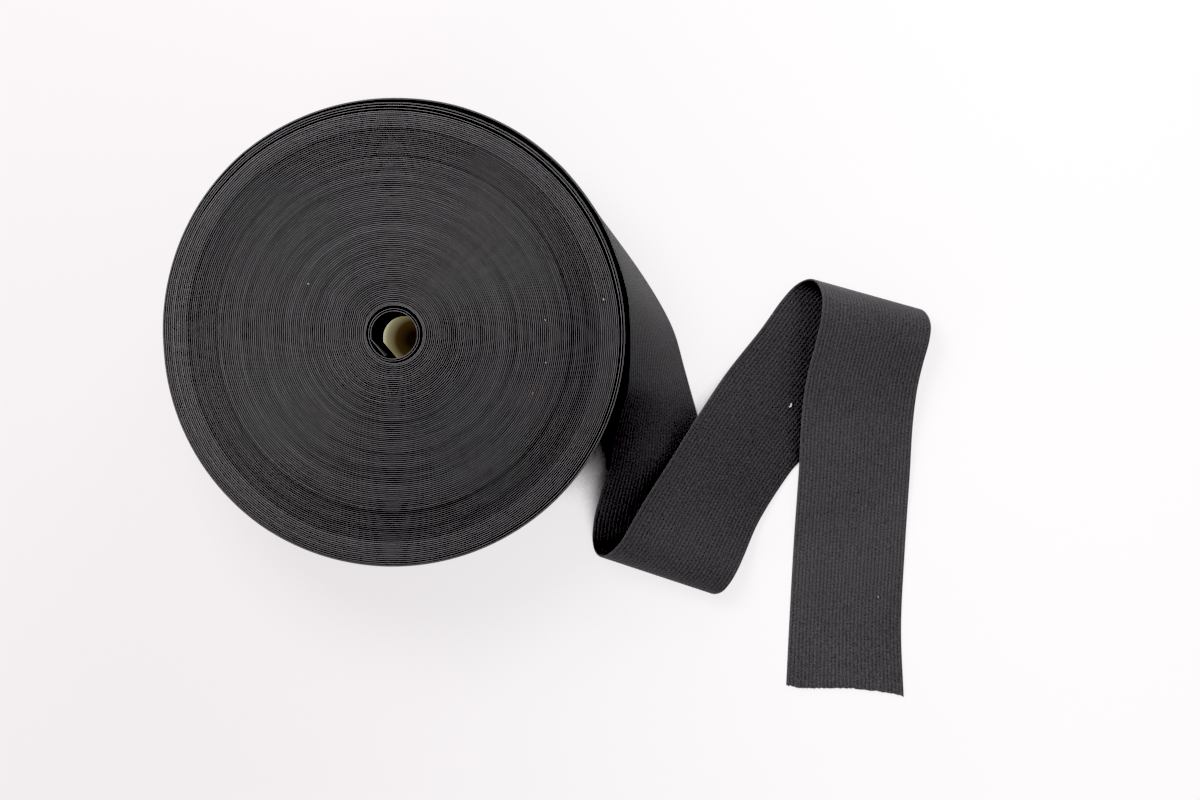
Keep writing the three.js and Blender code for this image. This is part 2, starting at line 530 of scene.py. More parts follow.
@dataclass(frozen=True)
class Tape:
    """Sizes of the elastic tape, in mm."""

    width: float = 60.0
    thick: float = 1.0
    ribs: int = 31
    core: float = 0.41
    relief: float = 0.09
    wound_thick: float = 0.7
    wound_height: float = 59.2
    front_tone: float = 1.0
    back_tone: float = 0.84


TAPE = Tape()


@dataclass(frozen=True)
class RibbedElastic:
    """Finish of the tape's faces: knitted ribs with broken stitches in the grooves between them, both
    darkened with painted shade.
    """

    name: str = "ribbed_elastic"
    colour: tuple[float, float, float] = (0.0751, 0.0726, 0.0756)
    stitch_length: float = 1.9
    stitch_shift: float = 3.0
    stitch_ends: tuple[float, float] = (0.12, 0.34)
    stitch_sides: tuple[float, float] = (0.16, 0.42)
    # Painted shade in the sunken stitch dashes
    stitch_painted_shade: float = 0.2
    groove_sides: tuple[float, float] = (0.27, 0.46)
    # Painted shade in the grooves between the ribs
    groove_painted_shade: float = 0.12
    groove_rough: float = 0.15
    selvedge: float = 0.7
    yarn_scale: float = 1700.0
    yarn_contrast: float = 2.4
    yarn_base: float = 0.2
    cloud_scale: float = 22.0
    cloud_detail: float = 3.0
    cloud_tone: tuple[float, float] = (0.85, 0.3)
    dust_scale: float = 130.0
    dust_reach: tuple[float, float] = (0.025, 0.055)
    dust_share: tuple[float, float] = (0.7, 0.95)
    dust_tone: float = 2.4
    yarn_height: float = 0.5
    stitch_sunk: float = 0.7
    groove_sunk: float = 0.3
    bump: float = 0.38
    bump_depth: float = 0.25
    roughness: float = 0.72
    sheen: float = 0.2
    sheen_rough: float = 0.45
    specular: float = 0.4

    def material(self) -> bpy.types.Material:
        """The finish as a material."""
        tree = ShaderTree(self.name)
        along, across, _ = tree.parts(tree.tape_place())
        rib = across * (TAPE.ribs / (TAPE.width * MM))
        from_crest = abs(rib.fraction() - 0.5)
        from_edge = across.at_most(TAPE.width * MM - across)
        inside = from_edge.rise(0.0, self.selvedge * MM)
        groove = from_crest.rise(*self.groove_sides) * inside
        groove_number = (rib + 0.5).whole()
        shift = tree.value("ShaderNodeTexWhiteNoise", {"noise_dimensions": "1D"}, {"W": groove_number})
        stitch = along * (1 / (self.stitch_length * MM)) + shift * self.stitch_shift
        wave = abs(stitch.fraction() - 0.5)
        dash = wave.rise(*self.stitch_ends) * from_crest.rise(*self.stitch_sides) * inside
        where = tree.place()
        yarn = tree.noise(where, self.yarn_scale)
        cloud = tree.noise(where, self.cloud_scale, self.cloud_detail)
        # Painted shade darkens the grooves and the stitch dashes
        shade = tree.stored(TONE) * (1 - groove * self.groove_painted_shade) * (1 - dash * self.stitch_painted_shade)
        clouded = cloud.over(*self.cloud_tone)
        mottle = (yarn * self.yarn_contrast - self.yarn_base) * clouded
        dust = tree.node("ShaderNodeTexVoronoi", None, {"Vector": where, "Scale": self.dust_scale})
        speck = 1 - Value(tree, dust.outputs["Distance"]).rise(*self.dust_reach)
        chance = tree.value("ShaderNodeSeparateColor", None, {0: dust.outputs["Color"]})
        dusty = speck * chance.rise(*self.dust_share) * self.dust_tone
        relief = yarn * self.yarn_height - dash * self.stitch_sunk - groove * self.groove_sunk
        return tree.finish(
            {
                "Base Color": tree.scaled(self.colour, shade * mottle + dusty),
                "Roughness": self.roughness + groove * self.groove_rough,
                "Normal": tree.bump(self.bump, self.bump_depth, relief),
                "Sheen Weight": self.sheen,
                "Sheen Roughness": self.sheen_rough,
                "Specular IOR Level": self.specular,
            }
        )


@dataclass(frozen=True)
class WoundEdges:
    """Finish of the wound turns, seen on their woven edges: each turn has its own tone, and their sides, seen
    between turns and in the hole, are darkened with painted shade.
    """

    name: str = "wound_edges"
    colour: tuple[float, float, float] = (0.1045, 0.1005, 0.1035)
    yarn_scale: float = 1500.0
    yarn_tone: tuple[float, float] = (0.7, 0.6)
    yarn_rough: float = 0.1
    streak_scale: float = 160.0
    streak_tone: tuple[float, float] = (0.7, 0.6)
    # Painted shade on the turns' sides, seen in the gaps and in the hole
    side_painted_shade: float = 0.12
    bump: float = 0.5
    bump_depth: float = 0.2
    roughness: float = 0.8
    sheen: float = 0.2
    sheen_rough: float = 0.5
    specular: float = 0.35

    def material(self) -> bpy.types.Material:
        """The finish as a material."""
        tree = ShaderTree(self.name)
        streak = tree.noise(tree.tape_place(), self.streak_scale)
        yarn = tree.noise(tree.place(), self.yarn_scale)
        # Painted shade: darker down the sides, away from the crest
        crest_or_painted_shade = self.side_painted_shade + tree.stored(CREST) * (1 - self.side_painted_shade)
        streaked = streak.over(*self.streak_tone)
        mottle = yarn.over(*self.yarn_tone)
        return tree.finish(
            {
                "Base Color": tree.scaled(self.colour, tree.stored(TONE) * crest_or_painted_shade * streaked * mottle),
                "Roughness": self.roughness + yarn * self.yarn_rough,
                "Normal": tree.bump(self.bump, self.bump_depth, yarn),
                "Sheen Weight": self.sheen,
                "Sheen Roughness": self.sheen_rough,
                "Specular IOR Level": self.specular,
            }
        )


@dataclass(frozen=True)
class LintFinish:
    """Finish of the specks of lint: pale or rusty, as each speck's tint says."""

    name: str = "lint"
    pale: tuple[float, float, float] = (0.55, 0.5, 0.42)
    rusty: tuple[float, float, float] = (0.42, 0.16, 0.06)
    fibre_scale: float = 4000.0
    fibre_rough: tuple[float, float] = (0.7, 0.25)

    def material(self) -> bpy.types.Material:
        """The finish as a material."""
        tree = ShaderTree(self.name)
        fibre = tree.noise(tree.place(), self.fibre_scale)
        return tree.finish(
            {
                "Base Color": tree.blend(tree.stored(TINT), self.pale, self.rusty),
                "Roughness": fibre.over(*self.fibre_rough),
            }
        )


class PaintedShadeStop(NamedTuple):
    """Painted light and shade on the floor seen in the roll's hole: a colour by its distance from the darkest
    place there, in mm.
    """

    away: float
    colour: tuple[float, float, float]


@dataclass(frozen=True)
class FloorFinish:
    """Finish of the pale floor.

    It glows as a lit sheet does, brighter towards the right as painted light, with painted shade where
    something stands over it, and half of the glow lights the part. The foot of the roll's hole has painted
    light and shade of its own, and is painted dark under the turns.
    """

    name: str = "pale_floor"
    colour: tuple[float, float, float] = (0.15, 0.146, 0.148)
    # Painted light: the floor's glow, brighter towards the right
    glow_left: tuple[float, float, float] = (0.715, 0.685, 0.692)
    glow_right: tuple[float, float, float] = (0.85, 0.835, 0.841)
    bounce: float = 0.5
    reach: tuple[float, float] = (-220.0, 420.0)
    # Painted shade: the glow dims where something stands over the floor
    sky_reach: float = 60.0
    sky_share: tuple[float, float] = (0.2, 0.46)
    sky_samples: int = 16
    # Painted light and shade at the foot of the hole, painted dark under the turns around it
    hole_reach: tuple[float, float] = (14.0, 18.0)
    hole_foot: tuple[float, float] = (11.7, 12.3)
    hole_dark: tuple[float, float] = (5.5, -1.0)
    roughness: float = 0.8
    specular: float = 0.1
    # Painted shade in the hole, dark towards its right, cream where painted light falls at its left rim
    hole_painted_light_and_shade: tuple[PaintedShadeStop, ...] = (
        PaintedShadeStop(4.0, (0.045, 0.043, 0.042)),
        PaintedShadeStop(10.0, (0.071, 0.057, 0.044)),
        PaintedShadeStop(14.8, (0.245, 0.22, 0.14)),
        PaintedShadeStop(17.0, (0.49, 0.47, 0.35)),
    )

    def painted_foot_light_and_shade(self, tree: ShaderTree, where: bpy.types.NodeSocket) -> bpy.types.NodeSocket:
        """Painted light and shade at the foot of the hole, from its darkest place outwards.

        Args:
            tree: the floor's tree.
            where: place on the floor.

        Returns:
            The colour's socket.
        """
        dark = placed(np.array([*self.hole_dark, 0.0]))
        ends = {0: where, 1: tuple(dark)}
        away = tree.value("ShaderNodeVectorMath", {"operation": "DISTANCE"}, ends, "Value")
        first = self.hole_painted_light_and_shade[0].away
        span = self.hole_painted_light_and_shade[-1].away - first
        shade = tree.node("ShaderNodeValToRGB", None, {"Fac": away * (1 / (span * MM)) - first / span})
        ramp = shade.color_ramp
        while len(ramp.elements) < len(self.hole_painted_light_and_shade):
            ramp.elements.new(0.5)
        for stop, element in zip(self.hole_painted_light_and_shade, ramp.elements):
            element.position = (stop.away - first) / span
            element.color = (*stop.colour, 1.0)
        return shade.outputs[0]

    def material(self) -> bpy.types.Material:
        """The finish as a material."""
        tree = ShaderTree(self.name)
        where = tree.place()
        ends = {0: where, 1: tuple(AXIS)}
        offset = tree.node("ShaderNodeVectorMath", {"operation": "SUBTRACT"}, ends).outputs[0]
        away = tree.value("ShaderNodeVectorMath", {"operation": "LENGTH"}, {0: offset}, "Value") * (1 / MM)
        # Painted light: brighter towards the right
        to_right = (tree.parts(offset)[0] * (1 / MM)).rise(*self.reach)
        sky = tree.value(
            "ShaderNodeAmbientOcclusion",
            {"samples": self.sky_samples},
            {"Distance": self.sky_reach * MM},
            "AO",
        )
        glow = tree.blend(to_right, self.glow_left, self.glow_right)
        # Painted shade where something stands over the floor
        glow_with_painted_shade = tree.scaled(glow, sky.rise(*self.sky_share))
        # Painted light and shade in the hole, painted dark under the turns around it
        foot = tree.blend(
            away.rise(*self.hole_foot), self.painted_foot_light_and_shade(tree, where), self.hole_painted_light_and_shade[0].colour
        )
        outside = away.rise(*self.hole_reach)
        seen = tree.value("ShaderNodeLightPath", None, None, "Is Camera Ray")
        share = seen * (1.0 - self.bounce) + self.bounce
        return tree.finish(
            {
                "Base Color": tree.scaled(self.colour, outside),
                "Roughness": self.roughness,
                "Specular IOR Level": self.specular,
                "Emission Color": tree.scaled(tree.blend(outside, foot, glow_with_painted_shade), share),
                "Emission Strength": 1.0,
            }
        )


def plain_mesh(name: str, points: np.ndarray, edges: Any, faces: Any) -> bpy.types.Mesh:
    """A mesh from arrays.

    Args:
        name: the mesh's name.
        points: places in metres.
        edges: pairs of points, or an empty list.
        faces: rows of four points, or an empty list.

    Returns:
        The mesh.
    """
    mesh = bpy.data.meshes.new(name)
    mesh.from_pydata(points, edges, faces)
    return mesh


def give(mesh: bpy.types.Mesh, name: str, values: np.ndarray) -> None:
    """Stores numbers or vectors on a mesh's points.

    Args:
        mesh: the mesh.
        name: the attribute's name.
        values: one number or one vector for each point.
    """
    vectors = np.ndim(values) == 2
    attribute = mesh.attributes.new(name, "FLOAT_VECTOR" if vectors else "FLOAT", "POINT")
    attribute.data.foreach_set("vector" if vectors else "value", np.asarray(values, np.float32).ravel())


def catmull_rom(points: np.ndarray, at: np.ndarray) -> np.ndarray:
    """Points of the centripetal Catmull-Rom curve that the solids' edges follow.

    Args:
        points: the points that the curve passes through.
        at: where to read it, as a count of points with its fraction.

    Returns:
        The curve's points.
    """
    ends = np.vstack([2 * points[0] - points[1], points, 2 * points[-1] - points[-2]])
    start = np.clip(np.floor(at).astype(int), 0, len(points) - 2)
    way = (at - start)[:, None]
    p0, p1, p2, p3 = (ends[start + i] for i in range(4))
    d0, d1, d2 = (np.sqrt(np.linalg.norm(b - a, axis=1))[:, None] for a, b in ((p0, p1), (p1, p2), (p2, p3)))
    leave = ((p1 - p0) / d0 - (p2 - p0) / (d0 + d1) + (p2 - p1) / d1) * d1
    reach = ((p2 - p1) / d1 - (p3 - p1) / (d1 + d2) + (p3 - p2) / d2) * d1
    square = -3 * p1 + 3 * p2 - 2 * leave - reach
    cube = 2 * p1 - 2 * p2 + leave + reach
    return p1 + leave * way + square * way**2 + cube * way**3


class TapeFaces:
    """Geometry Nodes that raise the ribs on both faces of a strip of tape."""

    CORE = "Half thickness in the grooves"
    RELIEF = "Height of the ribs"
    RIBS = "Number of ribs"
    EDGE_THIN = 0.8
    EDGE_RISE = 56.0
    CREST_ROUND = 2.4
    CRISP_ANGLE = (1.0, 1.01)

    def __init__(self) -> None:
        """Builds the tree."""
        tree = GeometryTree("rib_relief", (self.CORE, self.RELIEF, self.RIBS))
        across = Value(tree, tree.attribute(ACROSS))
        side = Value(tree, tree.attribute(SIDE))
        from_crest = abs((across * tree.size(self.RIBS)).fraction() * 2.0 - 1.0)
        crest = 1 - from_crest**self.CREST_ROUND
        edge = (across.at_most(1 - across) * self.EDGE_RISE + self.EDGE_THIN).at_most(1.0)
        half = (tree.size(self.CORE) + tree.size(self.RELIEF) * crest) * edge
        lift = tree.scaled(tree.attribute(OUT, "FLOAT_VECTOR"), side * half)
        raised = tree.node("GeometryNodeSetPosition", None, {"Geometry": tree.given, "Offset": lift})
        x, y, z = tree.place()
        above = tree.node("ShaderNodeCombineXYZ", None, {0: x, 1: y, 2: z.at_least(0.0)})
        rested = tree.node("GeometryNodeSetPosition", None, {"Geometry": raised, "Position": above})
        smooth = tree.node("GeometryNodeSetShadeSmooth", None, {"Geometry": rested})
        corner = tree.value("GeometryNodeInputMeshEdgeAngle").rise(*self.CRISP_ANGLE)
        sharp = {"Geometry": smooth, "Selection": corner, "Shade Smooth": False}
        tree.close(tree.node("GeometryNodeSetShadeSmooth", {"domain": "EDGE"}, sharp))
        self.tree = tree

    def raised(self, name: str, strip: "Strip", finish: bpy.types.Material) -> bpy.types.Object:
        """A strip of tape with its ribs raised.

        Args:
            name: name of the piece.
            strip: the flat strip.
            finish: its material.

        Returns:
            The piece.
        """
        sizes = {self.CORE: TAPE.core * MM, self.RELIEF: TAPE.relief * MM, self.RIBS: float(TAPE.ribs)}
        piece = self.tree.applied(name, strip.mesh(name), finish, sizes)
        for used in (SIDE, OUT):
            piece.data.attributes.remove(piece.data.attributes[used])
        return piece


class TapeSweep:
    """Geometry Nodes that carry the tape's rounded section along a winding path."""

    THICK = "Tape thickness"
    HEIGHT = "Tape height"
    ROUND = "Edge rounding"
    EDGE_ROUND = 0.2

    def __init__(self) -> None:
        """Builds the tree."""
        tree = GeometryTree("tape_sweep", (self.THICK, self.HEIGHT, self.ROUND))
        line = tree.node("GeometryNodeMeshToCurve", None, {0: tree.given})
        upright = tree.node("GeometryNodeSetCurveNormal", {"mode": "Z_UP"}, {0: line})
        sides = {"Width": tree.size(self.THICK), "Height": tree.size(self.HEIGHT)}
        section = tree.node("GeometryNodeCurvePrimitiveQuadrilateral", None, sides)
        corners = {"Curve": section, "Count": 1, "Radius": tree.size(self.ROUND)}
        rounded = tree.node("GeometryNodeFilletCurve", {"mode": "POLY"}, corners)
        # Crest: 1 along the top and bottom edges, falling to 0 down the sides, where the edges' finish paints
        # shade
        from_edge = tree.size(self.HEIGHT) * 0.5 - abs(tree.place()[1])
        crest = (1 - from_edge / tree.size(self.ROUND)).at_least(0.0)
        crested = tree.store(rounded, CREST, crest, {"data_type": "FLOAT", "domain": "POINT"})
        swept = tree.sweep(upright, crested)
        flat = tree.node("ShaderNodeCombineXYZ", None, {0: tree.attribute(RUN), 1: tree.place()[2]})
        mapped = tree.store(swept, TAPE_UV, flat, {"data_type": "FLOAT2", "domain": "CORNER"})
        tree.close(tree.node("GeometryNodeSetShadeSmooth", None, {0: mapped}))
        self.tree = tree

    def swept(self, name: str, path: bpy.types.Mesh, finish: bpy.types.Material) -> bpy.types.Object:
        """The wound tape along its path.

        Args:
            name: name of the piece.
            path: the path as edges, at the middle of the tape's height.
            finish: its material.

        Returns:
            The piece.
        """
        sizes = {
            self.THICK: TAPE.wound_thick * MM,
            self.HEIGHT: TAPE.wound_height * MM,
            self.ROUND: self.EDGE_ROUND * MM,
        }
        return self.tree.applied(name, path, finish, sizes)


@dataclass
class Strip:
    """A strip of tape ruled straight from its left edge to its right one, as a closed grid on its middle."""

    left: np.ndarray
    right: np.ndarray
    run: np.ndarray
    steps_per_rib: int = 4
    shift: np.ndarray | None = None

    def shares(self) -> np.ndarray:
        """Shares across the tape at which the grid has its columns."""
        return np.linspace(0, 1, TAPE.ribs * self.steps_per_rib + 1)

    def middle(self) -> np.ndarray:
        """Points of the strip's middle, by row and column, in mm."""
        share = self.shares()[None, :, None]
        return self.left[:, None] * (1 - share) + self.right[:, None] * share

    def outward(self, middle: np.ndarray) -> np.ndarray:
        """Directions out of the strip's first face.

        Args:
            middle: points of the strip's middle.

        Returns:
            A unit vector for each.
        """
        ahead = np.gradient(middle, axis=0)
        ruling = (self.right - self.left)[:, None]
        out = np.cross(np.broadcast_to(ruling, ahead.shape), ahead)
        return out / np.linalg.norm(out, axis=2, keepdims=True)

    def mesh(self, name: str) -> bpy.types.Mesh:
        """The closed grid with what the rib relief and the finish read.

        Args:
            name: name of the mesh.

        Returns:
            The mesh, in the frame.
        """
        middle = self.middle()
        out = self.outward(middle)
        run = np.broadcast_to(self.run[:, None], middle.shape[:2])
        if self.shift is not None:
            ahead = np.gradient(middle, axis=0)
            ahead /= np.linalg.norm(ahead, axis=2, keepdims=True)
            middle = middle + ahead * self.shift[..., None]
            run = run + self.shift
        rows, columns = middle.shape[:2]
        grid = np.arange(rows * columns).reshape(rows, columns)
        back = grid + rows * columns
        quads = (
            (grid[:-1, :-1], grid[:-1, 1:], grid[1:, 1:], grid[1:, :-1]),
            (back[:-1, :-1], back[1:, :-1], back[1:, 1:], back[:-1, 1:]),
            (grid[:-1, 0], grid[1:, 0], back[1:, 0], back[:-1, 0]),
            (grid[1:, -1], grid[:-1, -1], back[:-1, -1], back[1:, -1]),
            (grid[0, 1:], grid[0, :-1], back[0, :-1], back[0, 1:]),
            (grid[-1, :-1], grid[-1, 1:], back[-1, 1:], back[-1, :-1]),
        )
        faces = np.concatenate([np.stack(quad, axis=-1).reshape(-1, 4) for quad in quads])
        points = placed(middle.reshape(-1, 3))
        mesh = plain_mesh(name, np.vstack([points, points]), [], faces)
        share = np.tile(np.broadcast_to(self.shares(), (rows, columns)).ravel(), 2)
        give(mesh, ACROSS, share)
        give(mesh, SIDE, np.repeat([1.0, -1.0], rows * columns))
        give(mesh, TONE, np.repeat([TAPE.back_tone, TAPE.front_tone], rows * columns))
        give(mesh, OUT, np.tile(out.reshape(-1, 3), (2, 1)))
        corner = np.zeros(len(mesh.loops), np.int32)
        mesh.loops.foreach_get("vertex_index", corner)
        flat = np.stack([np.tile(run.ravel(), 2), share * TAPE.width], axis=-1) * MM
        layer = mesh.uv_layers.new(name=TAPE_UV)
        layer.data.foreach_set("uv", flat[corner].astype(np.float32).ravel())
        return mesh


class Held(Enum):
    """How a sheet of tape is held."""

    STRETCHED = "stretched"
    FOLDED = "folded"


@dataclass
class WoundRoll:
    """The winding: over a hundred turns, sunk in one band and worked loose at the outside and the hole."""

    step_angle: float = 130.0
    samples: int = 120
    turns: int = 107
    tip_angle: float = 247.0
    chord_angle: float = 220.0
    chord_distance: float = 10.7
    chord_turns: float = 0.151
    hole: float = 11.3
    coarse_radius: tuple[float, float] = (75.0, 35.0)
    loose_turns: float = 4.06
    tone_knots: int = 3
    tone_spread: float = 0.11
    height_spread: float = 0.09
    height_rest: float = 0.62
    tone_limits: tuple[float, float] = (0.7, 1.35)
    rise_limits: tuple[float, float] = (-0.3, 0.18)
    lift_limits: tuple[float, float] = (0.0, 0.8)
    settle_turns: float = 2.0
    outer_step: float = 5.0
    outer_gap: float = 0.12
    joint_gap: float = 0.01

    def wall_radius(self, angle: np.ndarray) -> np.ndarray:
        """Radius of the outer wall, at angles counted on from the step."""
        return read(WALL, "angle", "radius", angle)

    def path(self) -> tuple[np.ndarray, np.ndarray]:
        """The tape's middle line from the step inwards.

        Returns:
            Turns counted in from the step, and the radius at each.
        """
        total = self.turns + ((self.tip_angle - self.step_angle) % 360) / 360
        count = np.append(np.arange(0, total * self.samples) / self.samples, total)
        radius = np.zeros(len(count))
        first = count <= 1
        radius[first] = self.wall_radius(self.step_angle + 360 * count[first]) - TAPE.thick / 2
        loose = int(self.loose_turns * self.samples)
        for i in range(self.samples + 1, loose + 1):
            radius[i] = radius[i - self.samples] - read(SPACING, "turn", "spacing", count[i])
        self.wind_tight(count, radius, loose, total - INNER_TURNS[-1].turn)
        self.wind_inner(count, radius, total - count)
        return count, radius

    def wind_tight(self, count: np.ndarray, radius: np.ndarray, loose: int, joins: float) -> None:
        """Fills in the tight turns, which keep the outer turns' unevenness and lose it near the hole.

        Args:
            count: turns counted in from the step.
            radius: the radius at each, known up to the last loose point.
            loose: number of the last loose point.
            joins: the turn at which the loose inner turns begin.
        """
        inner_radius = INNER_TURNS[-1].radius
        last_turn = slice(loose - self.samples, loose)
        place = count[last_turn] % 1
        order = np.argsort(place)
        around = np.interp(count % 1, place[order], radius[last_turn][order], period=1)
        mean = float(radius[loose - self.samples : loose + 1].mean())
        pitch = (radius[loose] - inner_radius) / (joins - self.loose_turns)
        for i in range(loose + 1, len(count)):
            radius[i] = radius[i - self.samples] - pitch * (around[i] / mean)
        settle = np.clip((count - (joins - self.settle_turns)) / self.settle_turns, 0, 1)
        plain = inner_radius + (joins - count) * pitch
        tight = count > self.loose_turns
        radius[tight] = (radius * (1 - settle) + plain * settle)[tight]

    def wind_inner(self, count: np.ndarray, radius: np.ndarray, inner: np.ndarray) -> None:
        """Sets the loose inner turns and the straight tip across the hole.

        Args:
            count: turns counted in from the step.
            radius: the radius at each.
            inner: turns counted out from the inner end.
        """
        near = inner <= INNER_TURNS[-1].turn
        radius[near] = read(INNER_TURNS, "turn", "radius", inner[near])
        chord = inner <= self.chord_turns
        across = np.radians(self.step_angle + 360 * count[chord] - self.chord_angle)
        radius[chord] = self.chord_distance / np.cos(across)

    def kept(self, count: np.ndarray, radius: np.ndarray) -> np.ndarray:
        """Which points of the path are kept: fewer where the turns are small.

        Args:
            count: turns counted in from the step.
            radius: the radius at each.

        Returns:
            The kept points' numbers.
        """
        number = np.arange(len(count))
        wide, narrow = self.coarse_radius
        every = np.where(radius > wide, 1, np.where(radius > narrow, 2, 3))
        keep = (number % every == 0) & (count >= 1)
        keep[-1] = True
        return number[keep]

    def build_turns(self, sweep: TapeSweep, finish: bpy.types.Material) -> bpy.types.Object:
        """The fine turns inside the outermost one.

        Args:
            sweep: carries the tape's section along the path.
            finish: their material.

        Returns:
            The piece.
        """
        draw = np.random.default_rng(SEED)
        count, radius = self.path()
        angle = self.step_angle + 360 * count
        share = (radius - self.hole) / (self.wall_radius(self.step_angle + 360 * (count % 1)) - self.hole)
        knots = np.arange(0, (self.turns + 2) * self.tone_knots)
        tone = np.interp(count * self.tone_knots, knots, draw.normal(1.0, self.tone_spread, len(knots)))
        rise = np.interp(count * self.tone_knots, knots, draw.normal(0.0, self.height_spread, len(knots)))
        # The band tones paint shade in the sunk band and shadow lines at its steps
        tone = np.clip(tone, *self.tone_limits) * read(BAND_TONES_AND_PAINTED_SHADE, "share", "tone", share)
        lift = self.height_rest + np.clip(rise, *self.rise_limits)
        lift = np.clip(lift - read(BAND_TONES_AND_PAINTED_SHADE, "share", "sunk", share), *self.lift_limits)
        points = polar(radius, angle, lift + TAPE.wound_height / 2)
        run = run_along(points)
        keep = self.kept(count, radius)
        number = np.arange(len(keep))
        edges = np.stack([number[:-1], number[1:]], axis=-1)
        path = plain_mesh("winding_path", placed(points[keep]), edges, [])
        give(path, TONE, tone[keep])
        give(path, RUN, run[keep] * MM)
        LOG.info("winding: %.1f turns, %.1f m of tape", self.turns, run[-1] * MM)
        return sweep.swept("wound_turns", path, finish)

    def build_outer(self, faces: TapeFaces, finish: bpy.types.Material) -> tuple[bpy.types.Object, float]:
        """The ribbed outermost turn, up to where the loose end goes on.

        Args:
            faces: raises the ribs.
            finish: its material.

        Returns:
            The piece, and its length in mm.
        """
        first = STANDING[-1].angle + self.joint_gap
        rows = int(round(2 * math.pi * WALL[0].radius / self.outer_step))
        angle = np.linspace(self.step_angle + 360 - self.outer_gap, first, rows)
        radius = self.wall_radius(np.maximum(angle, self.step_angle)) - TAPE.thick / 2
        left = polar(radius, angle, TAPE.width)
        right = polar(radius, angle, 0.0)
        run = run_along(left)
        return faces.raised("outer_turn", Strip(left, right, run - run[-1]), finish), float(run[-1])

    def build(
        self, sweep: TapeSweep, faces: TapeFaces, edges: bpy.types.Material, ribbed: bpy.types.Material
    ) -> bpy.types.Object:
        """Builds the winding and places it on the frame.

        Args:
            sweep: carries the tape's section along the winding.
            faces: raises the ribs of the outermost turn.
            edges: finish of the wound edges.
            ribbed: finish of the tape's faces.

        Returns:
            The wound turns, which the loose end rests on.
        """
        turns = self.build_turns(sweep, edges)
        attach(turns, "root")
        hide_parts("wound_roll")
        outer, length = self.build_outer(faces, ribbed)
        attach(outer, "root")
        return turns


@dataclass
class LooseEnd:
    """The loose end: stands against the wall, twists down and folds twice, to its ragged cut end."""

    standing_sections: int = 22
    row_step: float = 3.0
    least_steps: int = 3
    cut_reach: float = 14.0
    cut_ragged: float = 0.22
    surface: np.ndarray | None = None

    def sections(self) -> tuple[np.ndarray, np.ndarray]:
        """Left and right ends of each section, from the step to the cut end, in mm."""
        angle = np.linspace(STANDING[-1].angle, STANDING[0].angle, self.standing_sections)
        wall = read(WALL, "angle", "radius", angle + 360)
        radius = wall + read(STANDING, "angle", "gap", angle) + TAPE.thick / 2
        foot = read(STANDING, "angle", "foot", angle)
        left = np.vstack([polar(radius, angle, TAPE.width), column(LYING, "left")])
        right = np.vstack([polar(radius + foot, angle, 0.0), column(LYING, "right")])
        return left, right

    def rows(self, left: np.ndarray, right: np.ndarray) -> np.ndarray:
        """Where the grid has its rows, as a count of sections with its fraction.

        Args:
            left: left ends of the sections.
            right: right ends.

        Returns:
            The rows' places.
        """
        lengths = np.maximum(
            np.linalg.norm(np.diff(left, axis=0), axis=1), np.linalg.norm(np.diff(right, axis=0), axis=1)
        )
        places = [np.array([0.0])]
        for number, length in enumerate(lengths):
            steps = max(self.least_steps, math.ceil(length / self.row_step))
            places.append(number + np.arange(1, steps + 1) / steps)
        return np.concatenate(places)

    def cut_shift(self, run: np.ndarray, shares: np.ndarray) -> np.ndarray:
        """How far each point of the grid moves along the tape so that the cut end is uneven.

        Args:
            run: length along the tape at each row.
            shares: shares across the tape.

        Returns:
            The moves in mm, by row and column.
        """
        draw = np.random.default_rng(SEED + 1)
        ragged = draw.normal(0.0, self.cut_ragged, len(shares))
        near = np.clip((run - (run[-1] - self.cut_reach)) / self.cut_reach, 0, 1) ** 2
        last = (near >= 1).astype(float)
        past = read(CUT_END, "share", "past", shares)
        return near[:, None] * past[None, :] + last[:, None] * ragged[None, :]

    def build(self, faces: TapeFaces, ribbed: bpy.types.Material, turns: bpy.types.Object) -> None:
        """Builds the loose end and places it on the frame.

        Args:
            faces: raises the ribs.
            ribbed: finish of the tape's faces.
            turns: the wound turns that it rests on; not used.
        """
        left, right = self.sections()
        at = self.rows(left, right)
        left, right = catmull_rom(left, at), catmull_rom(right, at)
        run = run_along((left + right) / 2)
        strip = Strip(left, right, run)
        strip.shift = self.cut_shift(run, strip.shares())
        piece = faces.raised("loose_end_tape", strip, ribbed)
        self.surface = strip.middle().reshape(-1, 3)
        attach(piece, "root")
        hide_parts("loose_end")


class Speck(NamedTuple):
    """A speck of lint: its place in mm from the roll's axis, its size, and its tint."""

    x: float
    y: float
    size: float
    tint: float
    on_roll: bool


